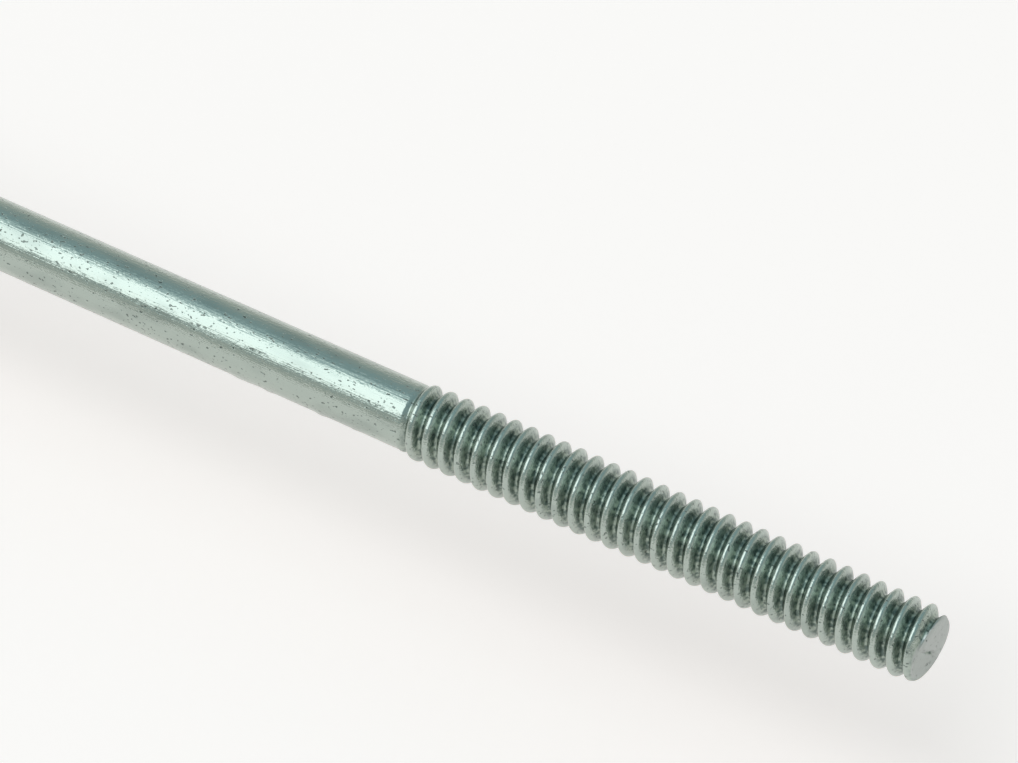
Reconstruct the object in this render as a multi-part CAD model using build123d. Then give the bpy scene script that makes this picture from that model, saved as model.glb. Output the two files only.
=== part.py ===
from build123d import *
import os
from math import cos, pi, radians, sin, tan

# A length of plain wire with a right-hand thread rolled on one end.
# The rod's axis is X. The middle of the threaded end is the origin, and the shank runs to -X.

# Driving dimensions, in millimetres and degrees
rod_length = 152.4        # end to end
wire_diameter = 2.36      # the plain shank, and the pitch diameter of a thread rolled on it
thread_length = 19.9      # from the threaded end to where the thread has died away
pitch = 0.635             # advance of one turn
flank_angle = 60          # between the two sides of the groove
crest_flat = 0.12         # width of the top of the thread
root_flat = 0.11          # width of the groove's floor
run_out = 0.6             # length over which the thread dies away into the shank
point_length = 0.45       # length of the narrower crests at the threaded end
point_depth = 0.18        # how much narrower they get, on the radius
shear_slant = 5.7         # lean of the sheared threaded end
shear_turn = 40           # way that it leans, from +Y towards +Z: this side stands out furthest
crest_turn = -44          # where the crest stands at the origin, from +Y towards +Z
end_break = 0.12          # broken edge of the plain end

# Sizes that follow
wire_radius = wire_diameter / 2
flank_slope = tan(radians(flank_angle / 2))
crest_radius = wire_radius + (pitch / 2 - crest_flat) / 2 / flank_slope
root_radius = wire_radius - (pitch / 2 - root_flat) / 2 / flank_slope
spare = pitch             # what a tool solid has over before it is trimmed
flank_steps = 8           # points along each spiral side of the thread's cross-section
quarter_turn = 90         # the rod is drawn standing on Z, where turns start this much earlier


def on_section(radius, advance):
    # a cut square across a thread shows each advance along the axis as a turn about it
    turn = 2 * pi * advance / pitch
    return (radius * cos(turn), radius * sin(turn))


def flank(from_radius, to_radius, from_advance, to_advance):
    steps = [k / flank_steps for k in range(flank_steps + 1)]
    return Spline(
        *[
            on_section(
                from_radius + (to_radius - from_radius) * step,
                from_advance + (to_advance - from_advance) * step,
            )
            for step in steps
        ]
    )


def thread_section():
    crest_edge = crest_flat / 2
    root_edge = pitch / 2 - root_flat / 2
    crest = ThreePointArc(*[on_section(crest_radius, k * crest_edge) for k in (-1, 0, 1)])
    root = ThreePointArc(
        *[on_section(root_radius, pitch / 2 + k * root_flat / 2) for k in (-1, 0, 1)]
    )
    falling = flank(crest_radius, root_radius, crest_edge, root_edge)
    rising = flank(root_radius, crest_radius, pitch - root_edge, pitch - crest_edge)
    return make_face([crest, falling, root, rising])


def turned(*outline):
    # outline points are (distance from the axis, place along the axis)
    corners = [(radius, 0, along) for radius, along in outline]
    return revolve(make_face(Polyline(*corners, close=True)), Axis.Z)


def threaded_bar():
    start = -thread_length - spare
    length = thread_length + 2 * spare
    first_turn = crest_turn + quarter_turn + 360 * start / pitch
    section = Rot(0, 0, first_turn) * thread_section()
    bar = Solid.extrude_linear_with_rotation(
        section.face(), (0, 0, 0), (0, 0, length), 360 * length / pitch
    )
    return Pos(0, 0, start) * bar


def start_envelope():
    # the crests rise out of the shank
    rise = (crest_radius - wire_radius) / run_out
    reach = run_out + 2 * spare
    return turned(
        (0, -thread_length),
        (wire_radius, -thread_length),
        (wire_radius + rise * reach, reach - thread_length),
        (wire_radius + rise * reach, spare),
        (0, spare),
    )


def point_envelope():
    # the crests narrow towards the sheared end
    narrowing = point_depth / point_length
    reach = 3 * spare
    return turned(
        (0, -thread_length - reach),
        (crest_radius + narrowing * reach, -thread_length - reach),
        (crest_radius + narrowing * reach, -point_length - reach),
        (crest_radius - narrowing * reach, -point_length + reach),
        (0, -point_length + reach),
    )


def offcut():
    # what the shear takes away, above a face that leans
    waste = Box(
        2 * wire_diameter,
        2 * wire_diameter,
        wire_diameter,
        align=(Align.CENTER, Align.CENTER, Align.MIN),
    )
    return Rot(0, 0, shear_turn - quarter_turn) * Rot(0, shear_slant, 0) * waste


def core():
    # the shank, and the cone that lets the groove's floor down from it
    return turned(
        (0, -rod_length),
        (wire_radius - end_break, -rod_length),
        (wire_radius, -rod_length + end_break),
        (wire_radius, -thread_length),
        (root_radius, -thread_length + run_out),
        (0, -thread_length + run_out),
    )


def threaded_rod():
    # one trim at a time, because all three at once meet the crests edge on
    thread = threaded_bar() & start_envelope() & point_envelope()
    rod = core() + (thread - offcut())
    return Rot(0, 90, 0) * rod


os.makedirs("parts", exist_ok=True)
export_step(threaded_rod().solid(), "parts/threaded_rod.step")
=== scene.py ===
import math

import bpy
import numpy as np
from mathutils import Matrix, Vector


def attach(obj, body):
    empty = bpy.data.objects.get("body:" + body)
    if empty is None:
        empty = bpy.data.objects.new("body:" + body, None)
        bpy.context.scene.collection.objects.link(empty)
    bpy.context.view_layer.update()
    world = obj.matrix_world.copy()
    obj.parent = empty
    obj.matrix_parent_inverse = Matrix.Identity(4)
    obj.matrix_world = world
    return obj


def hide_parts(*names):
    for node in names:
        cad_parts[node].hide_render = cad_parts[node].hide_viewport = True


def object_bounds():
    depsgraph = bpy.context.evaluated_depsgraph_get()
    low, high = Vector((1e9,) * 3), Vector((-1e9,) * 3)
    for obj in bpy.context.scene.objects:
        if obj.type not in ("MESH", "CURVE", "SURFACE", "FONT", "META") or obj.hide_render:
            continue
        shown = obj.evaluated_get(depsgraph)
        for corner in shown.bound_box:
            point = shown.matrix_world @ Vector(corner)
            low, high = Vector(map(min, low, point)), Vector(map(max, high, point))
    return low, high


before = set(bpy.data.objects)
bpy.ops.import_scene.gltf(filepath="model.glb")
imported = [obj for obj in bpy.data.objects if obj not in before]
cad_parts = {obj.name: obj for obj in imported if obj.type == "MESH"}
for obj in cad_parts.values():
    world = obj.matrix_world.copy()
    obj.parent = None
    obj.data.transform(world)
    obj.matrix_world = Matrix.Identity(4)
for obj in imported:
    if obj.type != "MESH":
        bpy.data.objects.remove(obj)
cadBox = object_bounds()
mm = 0.001

# what a user would change on the rod, in millimetres and degrees
rodSet = {
    "wireDiameter": 2.36,
    "crestDiameter": 2.703,
    "rootDiameter": 2.0,
    "pitch": 0.635,
    "flankAngle": 60,
    "threadLength": 19.9,
    "crestPhase": -0.122,      # turns from +Y to the crest that stands at the origin
    "crestRounding": 0.036,
    "rootRounding": 0.016,
    "crestWear": 0.014,        # the crests are uneven by this much, on the radius
    "runOut": 0.45,            # the first turn grows out of the shank over this length
    "shortFill": 0.05,         # the first crests are this much lower, on the radius
    "shortFillLength": 1.5,
    "pointLength": 0.5,        # narrower crests at the sheared end
    "pointDepth": 0.2,
    "shearSlant": 5.7,
    "shearTurn": 40,
    "around": 128,
    "rowsPerTurn": 16,
    "capRings": 26,
    "faceHigh": 0.05,          # the upper part of the sheared face stands this proud
    "faceLow": 0.06,           # and the lower part this far back
    "faceStep": (-0.24, -0.12),
    "nickDepth": 0.09,
    "ridgeHeight": 0.006,
    "endBreak": 0.12,
    # beads of plating on the shank: along, way round, height, width
    "beads": [(-26.3, 222, 0.03, 0.22), (-25.9, 216, 0.022, 0.16), (-25.1, 220, 0.026, 0.13),
              (-23.0, 221, 0.03, 0.16), (-30.4, 200, 0.02, 0.14), (-21.6, 214, 0.018, 0.12)],
}


def smoothMin(a, b, k):
    # the lower of two heights, with the corner between them rounded over about k
    return -k * np.logaddexp(-a / k, -b / k)


def fade(x, low, high):
    # 0 below low, 1 above high, with a soft S between
    t = np.clip((x - low) / (high - low), 0, 1)
    return t * t * (3 - 2 * t)


def threadRadius(x, turn, s):
    # radius of the rod at a place along the axis (mm, 0 at the sheared end) and a turn about it:
    # a V groove whose crest follows x = pitch * (turn - phase + whole number)
    wire = s["wireDiameter"] / 2
    crest = s["crestDiameter"] / 2
    root = s["rootDiameter"] / 2
    cycle = (x / s["pitch"] - turn + s["crestPhase"] + 0.5) % 1 - 0.5
    flank = wire + (s["pitch"] / 4 - np.abs(cycle) * s["pitch"]) / math.tan(math.radians(s["flankAngle"] / 2))
    fromStart = x + s["threadLength"]
    crestHere = crest - s["shortFill"] * np.exp(-np.maximum(fromStart, 0) / s["shortFillLength"])
    wave = np.sin(5.3 * x + 6 * math.pi * turn) * np.sin(2.1 * x - 4 * math.pi * turn + 1)
    crestHere = crestHere - s["crestWear"] * (0.5 + 0.5 * wave)
    crestHere = crestHere - s["pointDepth"] * np.maximum(x / s["pointLength"] + 1, 0) ** 2
    tooth = smoothMin(flank, crestHere, s["crestRounding"])
    tooth = -smoothMin(-tooth, -root + 0 * x, s["rootRounding"])
    rolled = fade(fromStart, 0, s["runOut"])
    return wire + (tooth - wire) * rolled


def shearPlane(y, z, s):
    # where the leaning end face is along the axis
    lean, way = math.radians(s["shearSlant"]), math.radians(s["shearTurn"])
    return (y * math.cos(way) + z * math.sin(way)) * math.tan(lean)


def shankRows(s):
    # places along the shank, close together by the thread and sparse towards the far end
    near = -s["threadLength"] - 1.5 * s["pitch"]
    far = cadBox[0][0] / mm + s["endBreak"]
    fine = np.arange(near, near - 18, -0.13)[1:]
    coarse = np.linspace(fine[-1], far, 30)[1:]
    return near, np.concatenate([fine, coarse])


def shankRadius(x, turn, s):
    # the drawn wire, with each bead a bell: height * exp(-(distance / width) squared)
    radius = s["wireDiameter"] / 2 + 0 * x * turn
    for along, way, height, width in s["beads"]:
        around = ((turn - way / 360 + 0.5) % 1 - 0.5) * math.pi * s["wireDiameter"]
        radius = radius + height * np.exp(-((x - along) ** 2 + around ** 2) / width ** 2)
    return radius


def buildRod(s):
    n, rows, pitch = s["around"], s["rowsPerTurn"], s["pitch"]
    near, shankX = shankRows(s)
    step = pitch / rows
    turn = np.arange(n) / n
    angle = 2 * math.pi * turn

    # the thread is a grid whose rows wind like the thread itself: row i of column j stands at
    # near + step * i + pitch * (j / n - 1), and is held between the shank and the sheared face
    top = int(math.ceil((-near + 1) / step)) + 2 * rows
    i = np.arange(top + rows + 1)
    x = near - pitch + step * i[:, None] + pitch * turn[None, :]
    radius = threadRadius(x, turn[None, :], s)
    end = shearPlane(radius * np.cos(angle), radius * np.sin(angle), s)
    low = (x <= near + step * 0.35).sum(0) - 1
    high = (x < end - step * 0.35).sum(0)
    column = np.arange(n)
    x[low, column] = near
    for _ in range(3):
        rimRadius = threadRadius(x[high, column], turn, s)
        x[high, column] = shearPlane(rimRadius * np.cos(angle), rimRadius * np.sin(angle), s)
    radius = threadRadius(x, turn[None, :], s)
    keep = (i[:, None] >= low) & (i[:, None] <= high)
    number = np.cumsum(keep.T.ravel()).reshape(n, -1).T - 1
    held = np.clip(i[:, None], low, high)
    index = number[held, column]
    across = np.column_stack([index, np.roll(index[:, :1], -rows, 0)])
    quads = np.stack([across[:-rows - 1, :-1], across[:-rows - 1, 1:],
                      across[1:-rows, 1:], across[1:-rows, :-1]], -1).reshape(-1, 4)
    points = np.stack([x, radius * np.cos(angle), radius * np.sin(angle)], -1)
    points = points.transpose(1, 0, 2)[keep.T]
    faces = [quads]

    # the shank carries on from the thread's first ring, then rounds over at the plain end
    wire = s["wireDiameter"] / 2
    farEnd = cadBox[0][0] / mm
    ringX = np.concatenate([shankX, [farEnd + 0.04, farEnd, farEnd]])
    ringR = np.repeat([[wire - 0.05], [wire - s["endBreak"]], [wire * 0.5]], n, 1)
    ringR = np.vstack([shankRadius(shankX[:, None], turn[None, :], s), ringR])
    firstRing = index[0]
    startAt = len(points)
    rings = np.stack([
        np.broadcast_to(ringX[:, None], (len(ringX), n)),
        ringR * np.cos(angle), ringR * np.sin(angle)], -1)
    points = np.concatenate([points, rings.reshape(-1, 3)])
    ids = np.vstack([firstRing, startAt + np.arange(rings.shape[0] * n).reshape(-1, n)])
    faces.append(tube(ids[::-1]))
    hub = len(points)
    points = np.vstack([points, [farEnd, 0, 0]])
    plainCap = fan(ids[-1], hub, flip=True)

    # the sheared face closes in from the thread's last ring
    lastRing = index[-rows - 1]
    rim = points[lastRing]
    share = 1 - np.linspace(0, 1, s["capRings"] + 1)[1:-1, None] ** 0.9
    capY, capZ = rim[:, 1] * share, rim[:, 2] * share
    capX = faceRelief(capY, capZ, share, s)
    startAt = len(points)
    points = np.concatenate([points, np.stack([capX, capY, capZ], -1).reshape(-1, 3)])
    ids = np.vstack([lastRing, startAt + np.arange(capX.size).reshape(-1, n)])
    faces.append(tube(ids))
    hub = len(points)
    points = np.vstack([points, [faceRelief(0, 0, 0, s), 0, 0]])
    shearCap = fan(ids[-1], hub, flip=False)

    polygons = np.concatenate(faces).tolist() + plainCap + shearCap
    cleaned = []
    for polygon in polygons:
        corners = list(dict.fromkeys(polygon))
        if len(corners) > 2:
            cleaned.append(corners)
    mesh = bpy.data.meshes.new("threaded_rod_finish")
    mesh.from_pydata((points * mm).tolist(), [], cleaned)
    mesh.validate()
    mesh.update()
    mesh.shade_smooth()
    piece = bpy.data.objects.new("rolled_wire_rod", mesh)
    bpy.context.scene.collection.objects.link(piece)
    return piece


def faceRelief(y, z, share, s):
    # the shear leaves a proud upper part, a lower torn part set back, a nick between them and ridges
    way = math.radians(s["shearTurn"])
    up = y * math.cos(way) + z * math.sin(way)
    side = z * math.cos(way) - y * math.sin(way)
    wavy = up + 0.05 * np.sin(4 * side)
    upper = fade(wavy, *s["faceStep"])
    middle = (s["faceStep"][0] + s["faceStep"][1]) / 2
    nick = s["nickDepth"] * np.exp(-((wavy - middle) / 0.07) ** 2 - ((side + 0.25) / 0.35) ** 2)
    ridges = s["ridgeHeight"] * np.sin(34 * side + 5 * up) * (1 - upper)
    relief = s["faceHigh"] * upper - s["faceLow"] * (1 - upper) - nick + ridges
    x = shearPlane(y, z, s) + relief * fade(1 - share, 0, 0.22)
    return np.minimum(x, cadBox[1][0] / mm - 0.004)


def tube(ids):
    # quads between rings of vertex numbers, each ring one step further along +X
    nextIds = np.roll(ids, -1, 1)
    return np.stack([ids[:-1], nextIds[:-1], nextIds[1:], ids[1:]], -1).reshape(-1, 4)


def fan(ring, hub, flip):
    # triangles from a ring to its middle
    pairs = zip(ring.tolist(), np.roll(ring, -1).tolist())
    return [[b, a, hub] if flip else [a, b, hub] for a, b in pairs]


rod = buildRod(rodSet)
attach(rod, "root")
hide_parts("threaded_rod")
print("rod mesh:", len(rod.data.polygons), "faces")


class Shade:
    # one value or colour in a material, so that shader maths reads as arithmetic
    def __init__(self, tree, socket):
        self.tree, self.socket = tree, socket

    def maths(self, operation, *values):
        return node(self.tree, "ShaderNodeMath", {"operation": operation}, dict(enumerate(values)))

    def __add__(self, other):
        return self.maths("ADD", self, other)

    def __sub__(self, other):
        return self.maths("SUBTRACT", self, other)

    def __mul__(self, other):
        return self.maths("MULTIPLY", self, other)

    def __rsub__(self, other):
        return self.maths("SUBTRACT", other, self)


def node(tree, kind, settings, values, output=0):
    made = tree.nodes.new(kind)
    for key, value in settings.items():
        setattr(made, key, value)
    for key, value in values.items():
        if isinstance(value, Shade):
            tree.links.new(value.socket, made.inputs[key])
        else:
            made.inputs[key].default_value = value
    return Shade(tree, made.outputs[output])


zincSet = {
    "metal": (0.43, 0.49, 0.445),
    "grooveShadeDark": (0.1, 0.14, 0.125),     # painted shade low in the thread
    # the lighter tone of the same painted shade, mixed in by mottling
    "grooveShadeLight": (0.34, 0.4, 0.34),
    "face": (0.4, 0.43, 0.41),
    "stain": (0.3, 0.35, 0.32),
    "pit": (0.07, 0.09, 0.08),
    "roughness": 0.16,
    "grooveRoughness": 0.16,              # added low in the thread
    "faceRoughness": 0.2,                 # added on the sheared face
    "grooveReach": (1.04, 1.32),          # mm from the axis, from full painted shade to none
    "streakWidth": 0.05,                  # mm across a drawing line
    "streakLength": 5.0,
    "streakBump": 0.007,
    "peelSize": 0.12,
    "peelBump": 0.014,
    "dentSize": 0.5,
    "dentBump": 0.014,
    "mottleSize": 0.16,
    "stainSize": (0.9, 2.5),
    "stainShare": 0.5,
    "scratchSize": (0.035, 1.6),
    "scratchRoughness": 0.15,
    "pitSize": (0.1, 0.16),
    "pitDarkness": 0.75,
    "pitShare": (0.66, 0.73),             # the noise between these becomes a pit
    "pitBump": 0.012,
}


def zincMaterial(s, r):
    material = bpy.data.materials.new("zinc_plated_steel_look")
    material.use_nodes = True
    tree = material.node_tree
    shader = tree.nodes["Principled BSDF"]
    place = node(tree, "ShaderNodeTexCoord", {}, {}, "Object")
    part = [node(tree, "ShaderNodeSeparateXYZ", {}, {"Vector": place}, axis) for axis in "XYZ"]

    def noise(size, length=None, detail=2.0, offset=0.0):
        # a noise field with features of this size in mm, drawn out along the axis to length
        along = 1 / ((length or size) * mm)
        across = 1 / (size * mm)
        spot = node(tree, "ShaderNodeMapping", {}, {
            "Vector": place, "Location": (offset, offset, offset), "Scale": (along, across, across)})
        return node(tree, "ShaderNodeTexNoise", {}, {"Vector": spot, "Scale": 1.0, "Detail": detail})

    def between(value, low, high):
        # 0 at low, 1 at high, with a soft S between
        return node(tree, "ShaderNodeMapRange", {"interpolation_type": "SMOOTHSTEP"},
                    {"Value": value, "From Min": low, "From Max": high})

    def mix(share, first, second):
        colours = [c if isinstance(c, Shade) else (*c, 1) for c in (first, second)]
        return node(tree, "ShaderNodeMix", {"data_type": "RGBA"}, {0: share, 6: colours[0], 7: colours[1]}, 2)

    # where the surface lies: low in the thread, or on the sheared face
    square = part[1] * part[1] + part[2] * part[2]
    radius = square.maths("SQRT", square)
    lean, way = math.radians(r["shearSlant"]), math.radians(r["shearTurn"])
    rise = part[1] * (math.cos(way) * math.tan(lean)) + part[2] * (math.sin(way) * math.tan(lean))
    onFace = between(part[0] - rise, -0.09 * mm, -0.05 * mm) * between(radius, 1.2 * mm, 1.1 * mm)
    inThread = between(part[0], -r["threadLength"] * mm, (0.5 - r["threadLength"]) * mm)
    # deep and groove mark the thread's hollows, which get painted shade in the colour and more roughness
    deep = between(radius, s["grooveReach"][1] * mm, s["grooveReach"][0] * mm)
    groove = deep * inThread * (1 - onFace)

    mottle = between(noise(s["mottleSize"], detail=3.0, offset=3.0), 0.38, 0.62)
    patch = between(noise(*s["stainSize"], offset=11.0), 0.5, 0.72) * s["stainShare"]
    pits = between(noise(*s["pitSize"], 1.0, 21.0), *s["pitShare"])
    scratch = between(noise(*s["scratchSize"], 1.0, 31.0), 0.68, 0.76)
    colour = mix(patch, s["metal"], s["stain"])
    # painted shade: the hollows of the thread darkened towards the root, mottled between two dark tones
    colour = mix(groove, colour, mix(mottle, s["grooveShadeDark"], s["grooveShadeLight"]))
    colour = mix(onFace, colour, s["face"])
    colour = mix(pits * s["pitDarkness"], colour, s["pit"])
    tree.links.new(colour.socket, shader.inputs["Base Color"])

    rough = groove * s["grooveRoughness"] + onFace * s["faceRoughness"] + scratch * s["scratchRoughness"]
    rough = rough + s["roughness"]
    tree.links.new(rough.socket, shader.inputs["Roughness"])

    streaks = noise(s["streakWidth"], s["streakLength"])
    peel = noise(s["peelSize"], detail=3.0, offset=7.0)
    dents = noise(s["dentSize"], 0.8, 1.0, 17.0)
    height = streaks * s["streakBump"] + peel * s["peelBump"] + dents * s["dentBump"]
    height = height - pits * s["pitBump"]
    bump = node(tree, "ShaderNodeBump", {}, {"Height": height * mm, "Strength": 1.0, "Distance": 1.0})
    tree.links.new(bump.socket, shader.inputs["Normal"])
    shader.inputs["Metallic"].default_value = 1
    return material


rod.data.materials.append(zincMaterial(zincSet, rodSet))

stageSet = {
    "floorDrop": 7.0,           # mm from the rod's axis down to the floor
    "floorColour": (0.93, 0.93, 0.915),
    "floorLift": (0.27, 0.165, 0.145),   # light added where the paper is seen
    "room": [(0.0, (0.68, 0.68, 0.65)), (0.17, (0.64, 0.67, 0.64)),
             (0.5, (0.42, 0.5, 0.5)), (0.8, (0.36, 0.5, 0.54))],
    # each lamp: name, way towards it, metres away, size, radiance, colour
    "lamps": [("lamp_key", (-0.37, -0.45, 0.81), 1.2, (1.5, 0.98), 1.5, (1, 1, 1)),
              ("lamp_top", (-0.37, 0.05, 0.93), 1.4, (1.5, 0.6), 0.35, (0.9, 1, 1))],
    "distance": 215.8,
    "aimAlong": -17.23,         # mm along the axis to the point abreast of the view's middle
    "aimAbove": 2.39,           # mm from the axis up the picture to the view's middle
    "elevation": 44.9,
    "heading": 31.88,
    "lens": 228.6,
}


def placeCamera(s):
    # the camera looks down on the rod from the side of its threaded end
    data = bpy.data.cameras.new("camera")
    data.lens = s["lens"]
    data.sensor_width = 36
    data.clip_start, data.clip_end = 0.01, 10
    camera = bpy.data.objects.new("camera", data)
    bpy.context.scene.collection.objects.link(camera)
    lift, swing = math.radians(s["elevation"]), math.radians(s["heading"])
    toCamera = Vector((math.sin(swing) * math.cos(lift), -math.cos(swing) * math.cos(lift), math.sin(lift)))
    right = Vector((math.cos(swing), math.sin(swing), 0))
    up = toCamera.cross(right)
    axis = Vector((1, 0, 0))
    alongView = Vector((axis.dot(right), axis.dot(up), 0)).normalized()
    acrossView = right * -alongView.y + up * alongView.x
    aim = (axis * s["aimAlong"] + acrossView * s["aimAbove"]) * mm
    camera.location = aim + toCamera * s["distance"] * mm
    camera.rotation_euler = toCamera.to_track_quat("Z", "Y").to_euler()
    bpy.context.scene.camera = camera


def addFloor(s):
    size = 3.0
    mesh = bpy.data.meshes.new("floor")
    z = -s["floorDrop"] * mm
    corners = [(-size, -size, z), (size, -size, z), (size, size, z), (-size, size, z)]
    mesh.from_pydata(corners, [], [(0, 1, 2, 3)])
    floor = bpy.data.objects.new("floor", mesh)
    bpy.context.scene.collection.objects.link(floor)
    material = bpy.data.materials.new("paper")
    material.use_nodes = True
    tree = material.node_tree
    shader = tree.nodes["Principled BSDF"]
    shader.inputs["Base Color"].default_value = (*s["floorColour"], 1)
    shader.inputs["Roughness"].default_value = 0.9
    shader.inputs["Specular IOR Level"].default_value = 0.0
    # the paper reads white to the camera and in reflections, and the lamps stay low
    seen = [node(tree, "ShaderNodeLightPath", {}, {}, ray) for ray in ("Is Camera Ray", "Is Glossy Ray")]
    lift = seen[0] + seen[1]
    shader.inputs["Emission Color"].default_value = (*s["floorLift"], 1)
    tree.links.new(lift.socket, shader.inputs["Emission Strength"])
    mesh.materials.append(material)


def softBox(name, way, distance, size, radiance, colour):
    # a flat lamp of this radiance, this way from the thread and facing it
    middle = Vector((-10 * mm, 0, 0))
    way = Vector(way).normalized()
    data = bpy.data.lights.new(name, "AREA")
    data.shape = "RECTANGLE"
    data.size, data.size_y = size
    data.energy = radiance * math.pi * size[0] * size[1]
    data.color = colour
    lamp = bpy.data.objects.new(name, data)
    lamp.location = middle + way * distance
    flat = Vector((1, 0, 0))
    across = way.cross(flat).normalized()
    along = across.cross(way)
    lamp.rotation_euler = Matrix((along, across, way)).transposed().to_euler()
    bpy.context.scene.collection.objects.link(lamp)


def addWorld(s):
    # the room, pale by the floor and dimmer and bluer overhead
    world = bpy.data.worlds.new("world")
    bpy.context.scene.world = world
    world.use_nodes = True
    tree = world.node_tree
    way = node(tree, "ShaderNodeTexCoord", {}, {}, "Generated")
    upward = node(tree, "ShaderNodeSeparateXYZ", {}, {"Vector": way}, "Z")
    ramp = tree.nodes.new("ShaderNodeValToRGB")
    ramp.color_ramp.interpolation = "EASE"
    while len(ramp.color_ramp.elements) < len(s["room"]):
        ramp.color_ramp.elements.new(0.5)
    for stop, (at, colour) in zip(ramp.color_ramp.elements, s["room"]):
        stop.position, stop.color = at, (*colour, 1)
    tree.links.new(upward.socket, ramp.inputs["Fac"])
    background = tree.nodes["Background"]
    tree.links.new(ramp.outputs["Color"], background.inputs["Color"])
    background.inputs["Strength"].default_value = 1.0


placeCamera(stageSet)
addFloor(stageSet)
for lampValues in stageSet["lamps"]:
    softBox(*lampValues)
print("stage: camera, floor and", len(stageSet["lamps"]), "lamps")
addWorld(stageSet)
bpy.context.scene.view_settings.view_transform = "Standard"
